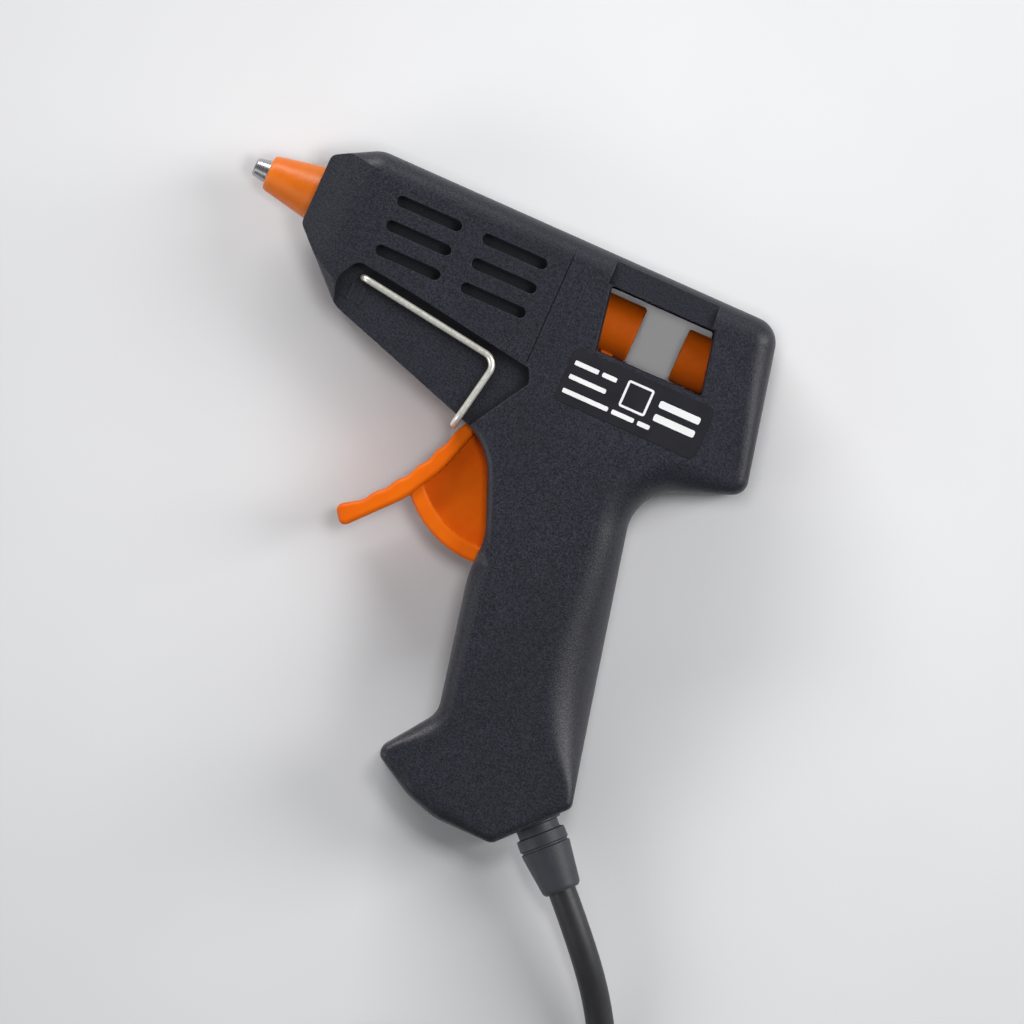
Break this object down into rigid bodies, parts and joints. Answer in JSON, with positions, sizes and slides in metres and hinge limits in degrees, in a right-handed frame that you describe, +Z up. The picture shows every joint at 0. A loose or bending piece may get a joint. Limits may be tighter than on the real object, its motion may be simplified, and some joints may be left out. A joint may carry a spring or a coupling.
{
  "type": "glue gun",
  "caption": "Mini hot-melt glue gun: two-part shell, heated nozzle, sliding feed driven by a sprung trigger, folding wire stand and mains cord with plug.",
  "frame": {"origin": "centre of the gun's footprint as it lies on its right side, on the surface it lies on; the free cord, its coil and plug are not counted", "axes": "+Z up, through the gun's thickness; -X is the way the nozzle points; +Y is towards the top of the gun, away from the handle's end"},
  "size_m": [0.1421, 0.2378, 0.0261],
  "materials": {
    "body": "fine spark-eroded matt",
    "orange_plastic": "moulded, satin gloss",
    "orange_inner": "moulded, satin",
    "orange_silicone": "smooth silicone rubber",
    "aluminium": "turned",
    "ceramic": "fired, matt",
    "film": "thin amber film",
    "spring_steel": "zinc plated",
    "screw_steel": "dark zinc plated",
    "bright_wire": "bright nickel plated",
    "label_film": "printed film, satin",
    "lead_brown": "insulation",
    "lead_blue": "insulation",
    "clamp_plastic": "moulded",
    "black_rubber": "moulded, matt",
    "cord_rubber": "extruded jacket, satin",
    "tie_strap": "woven hook-and-loop strap",
    "plug_rubber": "moulded, satin",
    "nickel_pin": "nickel plated"
  },
  "bodies": {
    "housing": {"left_shell": "body", "right_shell": "body", "shell_screws": "screw_steel", "nozzle_tip": "aluminium", "nozzle_cover": "orange_silicone", "melt_chamber": "aluminium", "ptc_heater": "ceramic", "heater_film": "film", "heater_clip": "spring_steel", "inlet_sleeve": "orange_silicone", "sleeve_clamp": "spring_steel", "return_spring": "spring_steel", "spring_post": "spring_steel", "rear_guide": "orange_inner", "trigger_pin": "spring_steel", "label": "label_film", "lead_live": "lead_brown", "lead_neutral": "lead_blue", "cord_clamp": "clamp_plastic", "clamp_screws": "screw_steel", "strain_relief": "black_rubber", "cord_inner": "cord_rubber", "cord": "cord_rubber", "cord_coil": "cord_rubber", "cord_tail": "cord_rubber", "cord_tie": "tie_strap", "plug_body": "plug_rubber", "plug_pins": "nickel_pin"},
    "trigger": {"trigger": "orange_plastic"},
    "carriage": {"feed_carriage": "orange_inner"},
    "stand": {"stand_wire": "bright_wire"}
  },
  "joints": [
    {"name": "trigger_pivot", "type": "hinge", "parent": "housing", "child": "trigger", "pos_m": [0.0128, 0.01208, 0.013], "axis": [0, 0, 1], "range_deg": [0, 22], "stiffness_Nm_per_rad": 0.12, "springref_deg": -14.32},
    {"name": "carriage_slide", "type": "slide", "parent": "housing", "child": "carriage", "axis": [-1, 0, 0], "range_m": [0, 0.0091], "deforming": ["return_spring"]},
    {"name": "stand_fold", "type": "hinge", "parent": "housing", "child": "stand", "pos_m": [-0.0274, 0.03238, 0.013], "axis": [0, 0, 1], "range_deg": [-86, 0]}
  ],
  "couplings": [
    {"joint": "carriage_slide", "follows": "trigger_pivot", "m_per_rad": 0.023654}
  ]
}
